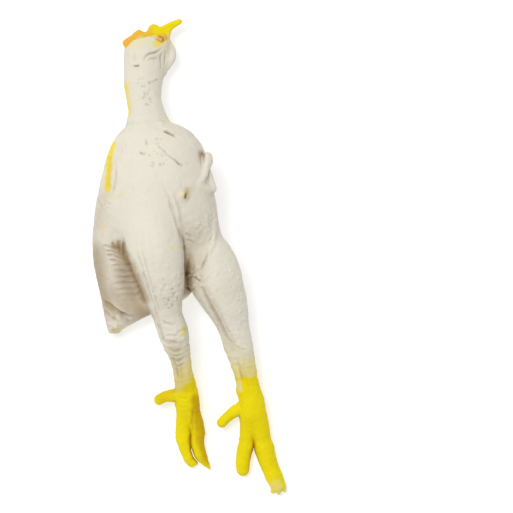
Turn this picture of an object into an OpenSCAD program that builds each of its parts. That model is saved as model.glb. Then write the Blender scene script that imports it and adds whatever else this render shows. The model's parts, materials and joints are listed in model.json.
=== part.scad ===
// Rubber chicken: a hollow moulded latex skin that squeaks, lying on its back and left flank.
// The skin is drawn in the segments between the places where it flexes. The bird's head points
// along +Y, +Z is up from the table, and the belly faces up and towards +X.

/* [Skin] */
// Wall of the latex skin
skin_wall = 2; // [1.6:0.1:2.4]
// Room left between two skin segments at a flexing place
flex_gap = 0.6; // [0.5:0.05:0.8]

/* [Torso] */
// Length of the torso from the collar to the vent
torso_len = 166; // [160:1:172]
// Greatest radius of the torso
torso_r = 60; // [58:0.5:62]
// Height of the torso's middle above the table, less than its radius where it lies flat
torso_z = 47.5; // [46:0.5:49]
// Squareness of the torso's outline, 2 for an ellipse
torso_square = 2.6; // [2.4:0.1:2.8]

/* [Neck and head] */
// Radius of the neck where it leaves the torso
neck_r = 19; // [18:0.5:20]
// Length of the neck between its two flexing places
neck_len = 44; // [42:1:48]
// Radius of the neck under the head
nape_r = 17.5; // [16.5:0.5:18.5]
// Length of the head from the nape to the crown
head_len = 50; // [46:1:54]
// Radius of the head at the cheeks
head_r = 22; // [20:0.5:24]
// Thickness of the comb
comb_t = 8; // [6:0.5:10]
// Length of the upper beak
beak_len = 30; // [26:1:34]

/* [Legs] */
// Radius of the drumstick where it leaves the torso
hip_r = 24; // [22:0.5:25]
// Length of the drumstick from hip to hock
drumstick_len = 92; // [88:1:96]
// Radius of the shank at the hock
hock_r = 12.5; // [11.5:0.5:13]
// Length of the shank from hock to ankle
shank_len = 54; // [50:1:58]
// Radius of the foot at the ankle
ankle_r = 11.5; // [10.5:0.5:12]
// Length of the foot from the ankle to the front toes
foot_len = 42; // [40:1:46]
// Radius of the front toes at their roots
toe_r = 7.5; // [7:0.25:8]
// Radius of the hind toe at its root
hind_toe_r = 6.5; // [6:0.25:7]

/* [Squeaker] */
// Radius of the squeaker's housing
squeaker_r = 12; // [11:0.5:13]
// Height of the squeaker's housing
squeaker_h = 9; // [8.5:0.5:10]
// Radius of the nozzle that passes through the skin
nozzle_r = 3; // [2.5:0.25:3.5]
// Radius of the air hole in the nozzle
air_hole_r = 1.1; // [0.9:0.1:1.3]
// Length of the vibrating reed
reed_len = 11; // [10:0.5:12]

/* [Hidden] */
$fn = 64;

latex = "#e9e2d3";
comb_paint = "#eeb24a";
beak_paint = "#e8cf3c";
foot_paint = "#ded016";
plastic = "#f2f2ee";
brass = "#c9a24a";

// Steps in a quarter of a ball or tip
arc_steps = 8;
// Steps along the torso's outline
egg_steps = 22;
// Widest swing, from its own line, that each mouth leaves room for
neck_reach = 38;
nape_reach = 34;
hock_reach = 52;
ankle_reach = 48;
toe_reach = 32;
// Turn of a hind toe away from the line of its foot
hind_spread = 64;

// Swing of a leg towards the belly, about the line from hip to hip
hip_swing = 50;
swing_step = 12.5;
swing_axis = [-0.87, 0, 0.5];

// Moves the laid-out bird so that its box is centred over the origin
lay = [-1.3, -0.2, 0];

// Directions along the table: turn is from -Y towards +X, drop is below the horizontal
function heading(turn, drop) = [sin(turn) * cos(drop), -cos(turn) * cos(drop), -sin(drop)];
function unit(v) = v / norm(v);
function flip(list) = [for (i = [len(list) - 1 : -1 : 0]) list[i]];
function arc(r, from, to) =
    [for (i = [0 : arc_steps]) let(a = from + (to - from) * i / arc_steps) [r * cos(a), r * sin(a)]];

// Flexing places, from the neck down
neck_at = lay + [-41, 137, torso_z - 2.5];
vent_dir = unit([0.05, -1, 0.03]);
neck_dir = unit([-0.11, 0.9, -0.42]);
nape_at = neck_at + neck_len * neck_dir;
head_dir = unit([0.02, 0.995, -0.1]);
right_hip_at = lay + [-32, -8, 80];
right_hock_at = right_hip_at + drumstick_len * heading(13.7, 21.9);
right_ankle_at = right_hock_at + shank_len * heading(10.8, 26.6);
left_hip_at = lay + [24, -10, 48];
left_hock_at = left_hip_at + drumstick_len * heading(17.2, 11.2);
left_ankle_at = left_hock_at + shank_len * heading(13, 10.6);

// Puts local +Z along dir, with its origin at the point
module aim(at, dir) {
    translate(at)
        rotate([0, acos(dir.z), atan2(dir.y, dir.x)])
            children();
}

// Outline of a limb that starts as a ball around its own flexing place, drawn in by inset
function limb_outline(ball_r, path, inset) =
    concat(arc(ball_r - inset, -90, 0), [for (p = path) [max(p[0] - inset, 0), p[1]]]);

// Hollow limb, open at its far end where the next one starts
module skin_limb(ball_r, path) {
    rotate_extrude()
        polygon(concat(limb_outline(ball_r, path, 0), flip(limb_outline(ball_r, path, skin_wall))));
}

// Solid limb with a round tip
module solid_limb(ball_r, length, tip_r) {
    tip = [for (p = arc(tip_r, 0, 90)) [max(p[0], 0), length - tip_r + p[1]]];
    rotate_extrude()
        polygon(concat(arc(ball_r, -90, 0), tip));
}

// Radius of the torso at a fraction u of its length, drawn in by inset
function egg_r(u, inset) =
    (torso_r - inset) * sqrt(max(0, 1 - pow(abs(2 * u - 1), torso_square)));

// Torso outline from the neck's mouth to the vent
collar_t = neck_r * sin(neck_reach);
collar_r = neck_r * cos(neck_reach) + flex_gap;
function torso_outline(inset) = [
    for (i = [0 : egg_steps])
        let(u = 0.5 - 0.5 * cos(12 + 168 * i / egg_steps))
            [max(egg_r(u, inset), i == 0 ? collar_r + skin_wall - inset : 0),
             collar_t + inset + u * (torso_len - 2 * inset) - (i == 0 ? inset + u * torso_len : 0)]
];

module torso_form(inset) {
    intersection() {
        aim(neck_at, vent_dir)
            rotate_extrude()
                polygon(concat([[0, collar_t]], torso_outline(inset)));
        translate(lay + [-150, -150, inset])
            cube([300, 400, 200]);
    }
}

// Room for a leg in the torso's side: its ball, and its drumstick as it swings up to the belly
module leg_socket(at, dir) {
    translate(at) {
        sphere(r = hip_r + flex_gap);
        for (swing = [0 : swing_step : hip_swing])
            rotate(a = swing, v = swing_axis)
                aim([0, 0, 0], dir)
                    cylinder(r1 = hip_r + flex_gap, r2 = hip_r - 1 + flex_gap, h = 45);
    }
}

module torso_skin() {
    color(latex)
    difference() {
        torso_form(0);
        torso_form(skin_wall);
        leg_socket(right_hip_at, heading(13.7, 21.9));
        leg_socket(left_hip_at, heading(17.2, 11.2));
        squeaker_place()
            cylinder(r = nozzle_r + 0.1, h = 30);
    }
}

// Rump and tail flap, which carry on from the vent towards the tail's tip
tail_at = lay + [-64, -6, 31];
tail_dir = unit([-0.17, -0.95, -0.18]);
module tail_skin() {
    color(latex)
    aim(tail_at, tail_dir)
        skin_limb(28.5, [[28, 14], [24, 36], [15, 57], [7, 71], [0, 75]]);
}

// Wing moulded flat against the torso: shoulder, elbow and tip
module wing(shoulder, elbow, tip) {
    color(latex)
    hull() {
        translate(lay + shoulder) sphere(r = 9, $fn = 28);
        translate(lay + elbow) sphere(r = 8, $fn = 28);
        translate(lay + tip) sphere(r = 6, $fn = 28);
    }
}

module right_wing() {
    wing([-64, 112, 76], [-80, 82, 76], [-87, 50, 66]);
}

module left_wing() {
    wing([8, 108, 34], [19, 90, 34], [23, 62, 34]);
}

// The squeaker's own frame: +Z leaves through the air hole
squeaker_t = 79;
squeaker_turn = 37;
module squeaker_place() {
    translate(neck_at + squeaker_t * vent_dir)
        rotate([0, squeaker_turn, 0])
            translate([0, 0, torso_r - 6 - squeaker_h])
                children();
}

housing_wall = 1.2;
cap_t = 1.4;
cap_lip = 1.6;
plate_t = 1.6;
reed_t = 0.25;
module squeaker_housing() {
    color(plastic)
    squeaker_place()
    difference() {
        union() {
            cylinder(r = squeaker_r, h = squeaker_h);
            cylinder(r = nozzle_r, h = squeaker_h + 5);
        }
        translate([0, 0, -1])
            cylinder(r = squeaker_r - housing_wall, h = squeaker_h - housing_wall + 1);
        cylinder(r = air_hole_r, h = squeaker_h + 6);
    }
}

module squeaker_cap() {
    color(plastic)
    squeaker_place()
    difference() {
        union() {
            translate([0, 0, -cap_t])
                cylinder(r = squeaker_r, h = cap_t);
            cylinder(r = squeaker_r - housing_wall - 0.05, h = cap_lip);
        }
        translate([0, 0, -2 * cap_t])
            cylinder(r = 1.4, h = 3 * cap_t + cap_lip);
    }
}

// Channel that the reed beats against, standing on the cap over its air hole
module reed_plate() {
    color(plastic)
    squeaker_place()
    translate([0, 0, cap_lip])
    difference() {
        translate([-7, -3, 0])
            cube([14, 6, plate_t]);
        translate([0, 0, -1])
            cylinder(r = 1, h = plate_t + 2);
    }
}

module reed() {
    color(brass)
    squeaker_place()
    translate([-reed_len / 2, -1.7, cap_lip + plate_t + 0.05])
        cube([reed_len, 3.4, reed_t]);
}

module neck_skin() {
    mouth_t = neck_len - nape_r * sin(nape_reach);
    color(latex)
    aim(neck_at, neck_dir)
        skin_limb(neck_r, [[neck_r - 1, 14], [nape_r * cos(nape_reach) + flex_gap + skin_wall, mouth_t]]);
}

module head_skin() {
    color(latex)
    aim(nape_at, head_dir)
        skin_limb(nape_r, [
            [head_r - 3, 12], [head_r, 24], [head_r - 1, 33], [head_r - 5, 41], [head_r - 13, 47],
            [0, head_len]
        ]);
}

// Head features, placed from the middle of the head
head_mid = nape_at + 28 * head_dir;

module comb() {
    color(comb_paint)
    translate(head_mid + [0, 0, -comb_t / 2])
        linear_extrude(comb_t)
            polygon([[-22, 6], [-20, 12], [-8, 22], [-3, 22], [2, 21], [9, 28], [13, 25], [12, 15], [0, 8]]);
}

module upper_beak() {
    color(beak_paint)
    aim(head_mid + [8, 17, 0], unit([0.9, 0.42, 0]))
        solid_limb(8, beak_len, 2);
}

module lower_beak() {
    color(beak_paint)
    aim(head_mid + [12, 10, 0], unit([0.9, 0.45, 0]))
        solid_limb(6, beak_len - 10, 2);
}

module wattle() {
    color(latex)
    aim(head_mid + [21, 6, 2], unit([0.05, -1, 0]))
        solid_limb(5.5, 20, 5);
}

// Drumstick, with the calf's swelling above the hock
module drumstick() {
    mouth_t = drumstick_len - hock_r * sin(hock_reach);
    color(latex)
    skin_limb(hip_r, [
        [hip_r - 3, 20], [hip_r - 8, 46], [hip_r - 8.5, 66],
        [hock_r * cos(hock_reach) + flex_gap + skin_wall, mouth_t]
    ]);
}

module shank() {
    mouth_t = shank_len - ankle_r * sin(ankle_reach);
    color(latex)
    skin_limb(hock_r, [
        [hock_r - 1.5, 18], [ankle_r * cos(ankle_reach) + flex_gap + skin_wall, mouth_t]
    ]);
}

// Foot: flat across its front, with a cup for each toe
module foot(at, dir, toes) {
    color(foot_paint)
    difference() {
        aim(at, dir)
            rotate_extrude()
                polygon(concat(arc(ankle_r, -90, 0), [
                    [ankle_r, 10], [ankle_r, foot_len - toe_r * sin(toe_reach)],
                    [0, foot_len - toe_r * sin(toe_reach)]
                ]));
        for (toe = toes)
            translate(toe[0])
                sphere(r = toe[2] + flex_gap);
    }
}

module toe(spec) {
    color(foot_paint)
    aim(spec[0], spec[1])
        solid_limb(spec[2], spec[3], 4);
}

// Each toe: its root, its direction, its radius there and its length.
// The hind toe leaves the foot hind_past the ankle.
function toes_of(ankle, turn, drop, hind_past, spread, lengths) =
    let(
        dir = heading(turn, drop),
        across = unit(cross([0, 0, 1], dir)),
        front = ankle + foot_len * dir
    ) [
        [
            ankle + hind_past * dir - across * (ankle_r + 3.5),
            heading(turn - hind_spread, 8), hind_toe_r, lengths[0]
        ],
        [front - across * (toe_r + 0.7) , heading(turn - spread[0], 4), toe_r, lengths[1]],
        [front + across * (toe_r + 0.7), heading(turn + spread[1], 4), toe_r, lengths[2]]
    ];

right_toes = toes_of(right_ankle_at, 6.3, 15, 2, [-8, 14], [22, 34, 34]);
left_toes = toes_of(left_ankle_at, 4.4, 13, 8, [8, 22], [26, 34, 52]);

module right_drumstick() {
    aim(right_hip_at, heading(13.7, 21.9)) drumstick();
}

module right_shank() {
    aim(right_hock_at, heading(10.8, 26.6)) shank();
}

module right_foot() {
    foot(right_ankle_at, heading(6.3, 15), right_toes);
}

module left_drumstick() {
    aim(left_hip_at, heading(17.2, 11.2)) drumstick();
}

module left_shank() {
    aim(left_hock_at, heading(13, 10.6)) shank();
}

module left_foot() {
    foot(left_ankle_at, heading(4.4, 13), left_toes);
}

torso_skin();
tail_skin();
right_wing();
left_wing();
squeaker_housing();
squeaker_cap();
reed_plate();
reed();
neck_skin();
head_skin();
comb();
upper_beak();
lower_beak();
wattle();
right_drumstick();
right_shank();
right_foot();
toe(right_toes[0]);  // right_hind_toe
toe(right_toes[1]);  // right_inner_toe
toe(right_toes[2]);  // right_outer_toe
left_drumstick();
left_shank();
left_foot();
toe(left_toes[0]);  // left_hind_toe
toe(left_toes[1]);  // left_inner_toe
toe(left_toes[2]);  // left_outer_toe
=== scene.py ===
"""Looks of the rubber chicken: one latex skin, in closed pieces that overlap each other at the joints."""

import json
import math

import bpy
import numpy as np
import openvdb
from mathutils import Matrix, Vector


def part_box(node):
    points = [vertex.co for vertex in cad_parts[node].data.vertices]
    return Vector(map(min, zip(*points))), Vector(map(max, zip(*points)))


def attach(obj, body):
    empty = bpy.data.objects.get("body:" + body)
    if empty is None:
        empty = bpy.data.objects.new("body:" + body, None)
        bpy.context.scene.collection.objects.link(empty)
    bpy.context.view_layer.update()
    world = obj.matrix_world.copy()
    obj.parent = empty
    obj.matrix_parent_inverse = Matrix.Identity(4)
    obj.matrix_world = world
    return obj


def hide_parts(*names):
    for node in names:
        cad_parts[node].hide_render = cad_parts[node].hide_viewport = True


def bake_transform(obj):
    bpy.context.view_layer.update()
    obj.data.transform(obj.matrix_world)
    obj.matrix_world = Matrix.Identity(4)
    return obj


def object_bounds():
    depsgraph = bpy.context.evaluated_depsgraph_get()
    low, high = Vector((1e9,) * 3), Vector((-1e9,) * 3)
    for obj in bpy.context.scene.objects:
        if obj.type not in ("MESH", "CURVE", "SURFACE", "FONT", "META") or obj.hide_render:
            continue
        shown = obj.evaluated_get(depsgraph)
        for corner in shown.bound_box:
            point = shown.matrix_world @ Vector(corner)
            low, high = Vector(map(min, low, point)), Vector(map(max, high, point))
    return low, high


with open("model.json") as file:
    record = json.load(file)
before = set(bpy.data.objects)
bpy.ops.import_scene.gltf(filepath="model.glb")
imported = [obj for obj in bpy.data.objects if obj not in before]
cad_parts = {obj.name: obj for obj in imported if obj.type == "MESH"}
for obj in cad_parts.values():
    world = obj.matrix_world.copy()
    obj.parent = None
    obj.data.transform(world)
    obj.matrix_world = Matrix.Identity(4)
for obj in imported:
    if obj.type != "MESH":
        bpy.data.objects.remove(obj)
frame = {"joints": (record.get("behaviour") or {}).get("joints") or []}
cad_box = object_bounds()

MM = 0.001


# ------------ places taken from the frame, in mm
def joint(name):
    row = next(j for j in frame["joints"] if j["name"] == name)
    return np.array(row["pos_m"]) / MM


def toward(a, b):
    return (b - a) / np.linalg.norm(b - a)


def node_box(*nodes):
    boxes = [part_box(n) for n in nodes]
    low = np.min([np.array(b[0]) for b in boxes], axis=0) / MM
    high = np.max([np.array(b[1]) for b in boxes], axis=0) / MM
    return low, high


NECK = joint("neck_bend")
NAPE = joint("head_nod")
NECK_DIR = toward(NECK, NAPE)
HEAD_LOW, HEAD_HIGH = node_box("head_skin")
CROWN = np.array([(HEAD_LOW[0] + HEAD_HIGH[0]) / 2, HEAD_HIGH[1], (HEAD_LOW[2] + HEAD_HIGH[2]) / 2])


class Leg:
    """Joints of one leg, and the places that follow from them."""

    def __init__(self, side):
        self.side = side
        self.hip = joint(side + "_hip")
        self.hock = joint(side + "_hock")
        self.ankle = joint(side + "_ankle")
        self.toes = {k: joint(f"{side}_{k}_toe_curl") for k in ("hind", "inner", "outer")}
        self.front = (self.toes["inner"] + self.toes["outer"]) / 2

    def thigh(self, f):
        return self.hip + f * (self.hock - self.hip)

    def shank(self, f):
        return self.hock + f * (self.ankle - self.hock)

    def foot(self, f):
        return self.ankle + f * (self.front - self.ankle)


RIGHT = Leg("right")
LEFT = Leg("left")


# ------------ distance fields on a grid
# Distances are kept up to this far from a surface. A join or a carve is narrower than this
FAR = 18.0


class Grid:
    """A box of voxels, with the coordinates of their centres along each axis."""

    def __init__(self, low, high, step):
        self.low = np.array(low, np.float32)
        self.step = step
        self.shape = tuple(int(math.ceil((h - l) / step)) + 1 for l, h in zip(low, high))
        self.axes = [(a + step * np.arange(n)).astype(np.float32) for a, n in zip(self.low, self.shape)]

    def blank(self):
        return np.full(self.shape, FAR, np.float32)

    def window(self, low, high):
        cut = []
        for axis, a, b in zip(self.axes, low, high):
            i, j = np.searchsorted(axis, [a, b])
            cut.append(slice(max(i - 1, 0), min(j + 1, len(axis))))
        return tuple(cut)

    def coords(self, cut=(slice(None),) * 3):
        x, y, z = (axis[c] for axis, c in zip(self.axes, cut))
        return x[:, None, None], y[None, :, None], z[None, None, :]


def between(p0, p1, p2, p3, t):
    """Catmull-Rom curve from p1 to p2, at t from 0 to 1."""
    return 0.5 * (
        2 * p1
        + (p2 - p0) * t
        + (2 * p0 - 5 * p1 + 4 * p2 - p3) * t * t
        + (3 * p1 - p0 - 3 * p2 + p3) * t**3
    )


def spline(rows, step=4.0):
    """Smooth curve through rows of (x, y, z, radius), as closely spaced rows."""
    rows = np.array(rows, float)
    padded = np.vstack([2 * rows[0] - rows[1], rows, 2 * rows[-1] - rows[-2]])
    out = []
    for i in range(1, len(rows)):
        corners = padded[i - 1 : i + 3]
        count = max(2, int(np.linalg.norm(corners[2][:3] - corners[1][:3]) / step))
        out += [between(*corners, t) for t in np.arange(count) / count]
    out.append(rows[-1])
    return np.array(out)


def chain(grid, rows, flat=1.0, step=4.0, field=None):
    """Distance to a limb with round sections. flat below 1 squashes its sections along Z."""
    field = grid.blank() if field is None else field
    curve = spline(rows, step)
    for a, b in zip(curve[:-1], curve[1:]):
        reach = max(a[3], b[3]) + FAR
        cut = grid.window(np.minimum(a, b)[:3] - reach, np.maximum(a, b)[:3] + reach)
        x, y, z = grid.coords(cut)
        ab = b[:3] - a[:3]
        dx, dy, dz = x - a[0], y - a[1], z - a[2]
        t = np.clip((dx * ab[0] + dy * ab[1] + dz * ab[2]) / max(ab @ ab, 1e-6), 0, 1)
        dz = (dz - t * ab[2]) / flat
        d = np.sqrt((dx - t * ab[0]) ** 2 + (dy - t * ab[1]) ** 2 + dz**2)
        d -= a[3] + t * (b[3] - a[3])
        np.minimum(field[cut], d, out=field[cut])
    return field


# How far the sizes of the torso's sections are evened along it, and the least half size of one
EVENED_OVER = 4
LEAST_HALF = 0.5


def sections(grid, rows):
    """Distance to a form with elliptic sections across Y.

    The rows hold y, mid x, half width, mid z, half height.
    """
    rows = np.array(rows, float)[::-1]
    y = grid.axes[1]
    mid_x, half_w, mid_z, half_h = (
        evened(smooth_through(y, rows[:, 0], rows[:, k]), EVENED_OVER / grid.step) for k in (1, 2, 3, 4)
    )
    half_w = np.maximum(half_w, LEAST_HALF)
    half_h = np.maximum(half_h, LEAST_HALF)
    slope = np.sqrt(1 + np.gradient((half_w + half_h) / 2, grid.step) ** 2)
    x, _, z = grid.coords()

    def ring(v):
        return v[None, :, None].astype(np.float32)

    rho = np.sqrt(((x - ring(mid_x)) / ring(half_w)) ** 2 + ((z - ring(mid_z)) / ring(half_h)) ** 2)
    field = (rho - 1) * ring(np.minimum(half_w, half_h) / slope)
    return np.minimum(np.maximum(field, ring(np.maximum(rows[0, 0] - y, y - rows[-1, 0]))), FAR)


def evened(values, reach):
    """Values averaged over their neighbours within a reach."""
    reach = max(1, round(reach))
    padded = np.pad(values, reach, mode="edge")
    return np.convolve(padded, np.ones(2 * reach + 1) / (2 * reach + 1), mode="valid")


def smooth_through(at, knots, values):
    """Cubic Hermite curve through the knots that doesn't overshoot, as values at the places given."""
    gap = np.diff(knots)
    slope = np.diff(values) / gap
    tangent = np.zeros(len(knots))
    for i in range(1, len(knots) - 1):
        if slope[i - 1] * slope[i] > 0:
            tangent[i] = 2 * slope[i - 1] * slope[i] / (slope[i - 1] + slope[i])
    tangent[0], tangent[-1] = slope[0], slope[-1]
    i = np.clip(np.searchsorted(knots, at) - 1, 0, len(gap) - 1)
    t = np.clip((at - knots[i]) / gap[i], 0, 1)
    h = gap[i]
    return (
        values[i] * (1 + 2 * t) * (1 - t) ** 2
        + h * tangent[i] * t * (1 - t) ** 2
        + values[i + 1] * t * t * (3 - 2 * t)
        + h * tangent[i + 1] * t * t * (t - 1)
    )


def join(a, b, k):
    """Smooth union: k is the width of the fillet, a number or a field."""
    k = np.maximum(k, 0.01)
    h = np.clip(0.5 + 0.5 * (b - a) / k, 0, 1)
    return b + (a - b) * h - k * h * (1 - h)


def carve(a, b, k):
    """Smooth difference a minus b."""
    return -join(-a, b, k)


def ramp(v, a, b):
    t = np.clip((v - a) / (b - a), 0, 1)
    return t * t * (3 - 2 * t)


def beyond(grid, at, direction):
    """Signed distance of each voxel past a plane."""
    x, y, z = grid.coords()
    past = (x - at[0]) * direction[0] + (y - at[1]) * direction[1] + (z - at[2]) * direction[2]
    return past.astype(np.float32)


# How far a piece sinks under its neighbour's skin where the two overlap, and how soon its end closes
SHRINK = 1.6
END_ROUNDING = 0.4


def taper(field, past, overlap):
    """Ends a piece a little past a plane, sinking under its neighbour's skin."""
    sunk = field + SHRINK * (np.clip(past, 0, None) / overlap) ** 2
    return -join(-sunk, overlap - past, END_ROUNDING * overlap)


# ------------ the skin's forms
# Middle of the skull
SKULL = CROWN - (0, 20, 2)

# How far the squeaker's nozzle leans from upright, and how thin a slice of it counts as its end
NOZZLE_LEAN = math.radians(37)
NOZZLE_DIR = np.array([math.sin(NOZZLE_LEAN), 0, math.cos(NOZZLE_LEAN)])
END_SLICE = 0.2


def nozzle_tip():
    """The end of the squeaker's housing that points up through the belly's side."""
    cloud = np.array([tuple(v.co) for v in bpy.data.objects["squeaker_housing"].data.vertices]) / MM
    reach = cloud @ NOZZLE_DIR
    return cloud[reach > reach.max() - END_SLICE].mean(axis=0)


NOZZLE = nozzle_tip()


def rows_from(origin, rows):
    """Rows of (x, y, z, radius), their places given from an origin."""
    return [(*(origin + row[:3]), row[3]) for row in rows]


# Legs: how far along which stretch, x, y, z from there, radius
LEG_ROWS = {
    "right": [
        ("thigh", 0, -4, 66, -9, 25),
        ("thigh", 0, -3, 43, -4, 27.5),
        ("thigh", 0, 0, 17, -1, 28),
        ("thigh", 0, 3.5, -2, -2, 25.5),
        ("thigh", 0.2, 3, -2, 0, 22),
        ("thigh", 0.4, 0.5, 0, 0, 18.5),
        ("thigh", 0.56, -0.5, 0, 0, 15.6),
        ("thigh", 0.66, -0.5, 0, 0, 15),
        ("thigh", 0.82, 0.5, 0, 0, 15.4),
        ("thigh", 0.95, 0.5, 0, 0, 13.8),
        ("shank", 0.2, 1.6, 0, 0, 10.6),
        ("shank", 0.5, 1.5, 0, 0, 9.8),
        ("shank", 0.8, 1, 0, 0, 10.6),
        ("shank", 1, 0.5, 0, 0, 11),
        ("foot", 0.25, 0, 0, 0, 10.8),
    ],
    "left": [
        ("thigh", 0, -21, 28, -3, 23),
        ("thigh", 0, -4.5, 4, -2, 27),
        ("thigh", 0.14, -1, 0, 0, 27),
        ("thigh", 0.32, 0.5, 0, 0, 24),
        ("thigh", 0.46, 2, 0, 0, 21),
        ("thigh", 0.6, 2.5, 0, 0, 18),
        ("thigh", 0.73, 2, 0, 0, 16),
        ("thigh", 0.87, 1.5, 0, 0, 15),
        ("thigh", 1, 1, 0, 0, 14),
        ("shank", 0.24, 1.5, 0, 0, 12.6),
        ("shank", 0.48, 1.5, 0, 0, 11.4),
        ("shank", 0.71, 1, 0, 0, 11.6),
        ("shank", 0.94, 1, 0, 0, 12),
        ("foot", 0.25, 0, 0, 0, 12),
    ],
}


def leg_form(grid, leg):
    """The leg from inside the torso down to the foot."""
    stretches = {"thigh": leg.thigh, "shank": leg.shank, "foot": leg.foot}
    rows = [(*(stretches[part](f) + (x, y, z)), r) for part, f, x, y, z, r in LEG_ROWS[leg.side]]
    return chain(grid, rows)


# Front toes from their roots on: (from the root) x, y, z, radius
TOE_ROWS = {
    "right_inner": [(1, -6, 0, 7.2), (3, -17, -1, 5.8), (6, -26, -2, 5), (9.5, -30, -3, 4)],
    "right_outer": [(-1, -6, 0, 7.4), (-1, -14, -1, 7), (2, -24, -2, 6.2), (7, -33, -3, 3.2)],
    "left_inner": [(-0.5, -6, 0, 8), (-2.5, -18, -1, 7.2), (-3, -26, -3, 6.8), (-3, -28, -3, 6.4)],
    "left_outer": [(2, -6, 0, 10), (6.5, -22, -1, 9.2), (12, -36, -2, 8.6), (16.5, -45, -3, 7.4)],
}


# Claws: (from the tip of the toe) x, y, z, radius
CLAWS = {
    "left_outer": [
        [(-4, -2, 1, 3.4), (-5.5, -6, 1, 2.2)],
        [(1, -3, 2, 3.2), (0.5, -7.5, 1, 2.2)],
        [(5, 0, 1, 3), (6.5, -5.5, 0, 1.8)],
    ],
    "right_outer": [[(1, -1, 0, 2.8), (4, -5, 0, 1.3)]],
    "right_inner": [[(-2, -1, 0, 3), (0, -3, 0, 2.4)], [(2, 0, 1, 2.6), (4, -1, 0, 1.8)]],
}


def toe_form(grid, leg, toe):
    rows = toe_rows(leg, toe)
    form = chain(grid, rows, step=2)
    tip = np.array(rows[-1][:3])
    for claw in CLAWS.get(f"{leg.side}_{toe}", []):
        form = join(form, chain(grid, rows_from(tip, claw), step=1), 1.2)
    return form


def foot_form(grid, leg):
    """The leg down to the foot, with the far leg's spur."""
    form = leg_form(grid, leg)
    if leg.side == "left":
        spur = rows_from(leg.ankle, [(-8, 17, 2, 3.5), (-11, 13, 2, 3.4), (-9, 6, 1, 3)])
        form = join(form, chain(grid, spur, step=2), 3)
    return form


def toe_rows(leg, toe):
    """A front toe from the ankle on, or the hind toe from the side of the foot."""
    root = leg.toes[toe]
    if toe == "hind":
        low, high = node_box(f"{leg.side}_{toe}_toe")
        tip = np.array([low[0] + 4.5, low[1] + 4.5, (low[2] + high[2]) / 2 - 3])
        if leg.side == "right":
            tip += (2, 5, 0)
        else:
            tip += (3.5, -2, 0)
        return [(*(leg.foot(0.05)), 8), (*root, 6.4), (*(0.5 * (root + tip) + (0, 1, 0)), 5.4), (*tip, 5)]
    side = -1 if toe == "inner" else 1
    wide = 1.6 if leg.side == "left" and toe == "outer" else 0
    return [
        (*(leg.foot(0.05) + (side * 2 + wide, 0, 0)), 8.4 + 0.5 * wide),
        (*(leg.foot(0.5) + (side * 4.4 + 1.4 * wide, 0, 0)), 8 + wide),
        (*(root - (side * 1.2 - wide, 0, 0)), 8 + wide),
        *rows_from(root, TOE_ROWS[f"{leg.side}_{toe}"]),
    ]


TORSO_ROWS = [
    # down from the neck, mid x, half width, mid z, half height
    (1.5, -38.5, 6, 44, 6),
    (4.5, -36.5, 18, 44, 15),
    (8, -34.8, 27.5, 45, 22),
    (12, -33.9, 33.5, 46, 28),
    (18, -33, 38.8, 47, 34),
    (24, -32.2, 42.2, 48, 39),
    (30, -31.8, 45.4, 48.5, 43),
    (42, -32.2, 49.6, 49.5, 48),
    (54, -32.8, 53.2, 50.5, 50),
    (66, -32.8, 56, 51, 51),
    (84, -33, 59.6, 50, 50),
    (102, -33.1, 62, 47, 46.5),
    (120, -33.7, 63.2, 43, 42.5),
    (138, -35.6, 61, 38, 37.5),
    (154, -38.6, 56, 33.5, 33),
    (168, -42.5, 49, 29, 28.5),
    (180, -46.3, 43, 26, 25.5),
    (190, -55, 32.5, 24, 23),
    (198, -64.5, 22, 21, 19.5),
    (206, -71.2, 13.6, 18, 15),
    (212, -75.4, 8.4, 15, 11),
    (216, -77.4, 3.5, 13, 7),
]


def torso_core(grid):
    rows = [(NECK[1] - down, x, w, z, h) for down, x, w, z, h in TORSO_ROWS]
    return sections(grid, rows)


def torso_folds(field, grid):
    """The deep fold where the near thigh presses on the rump."""
    rows = [(-43, 20, 9, 2), (-36, 16, 4, 7), (-26, 3, -4, 11), (-18, -16, -14, 14), (-12, -38, -24, 15)]
    return carve(field, chain(grid, rows_from(RIGHT.hip, rows)), 14)


def wings(grid):
    """Both wings: a swelling along the near flank, a thin twisted flap on the far one."""
    near_rows = [(-27, -22, 21, 3), (-31, -36, 26, 6), (-34.5, -54, 27, 7.5)]
    near_rows += [(-37, -72, 25, 7.5), (-39, -86, 22, 5)]
    near = chain(grid, rows_from(NECK, near_rows))
    far = plate(grid, FAR_WING, NECK[2] + 17, 7, 4)
    for ridge in (
        [(61, -38, 24, 3.4), (61.5, -44, 23, 4.4), (60, -50, 24, 3)],
        [(60.5, -40, 24, 2.6), (58.8, -53, 28, 3.2), (56.5, -61, 32, 3.2), (51.5, -67, 37, 2)],
        [(52, -68, 37, 2), (58, -71, 30, 3), (66, -72, 21, 3.4)],
    ):
        far = join(far, chain(grid, rows_from(NECK, ridge), step=2), 2.5)
    return near, far


def closed_curve(rows, pieces=4):
    """A smooth closed outline through its corners."""
    rows = np.array(rows, float)
    out = []
    for i in range(len(rows)):
        corners = [rows[(i + k) % len(rows)] for k in (-1, 0, 1, 2)]
        out += [between(*corners, t) for t in np.arange(pieces) / pieces]
    return np.array(out)


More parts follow.
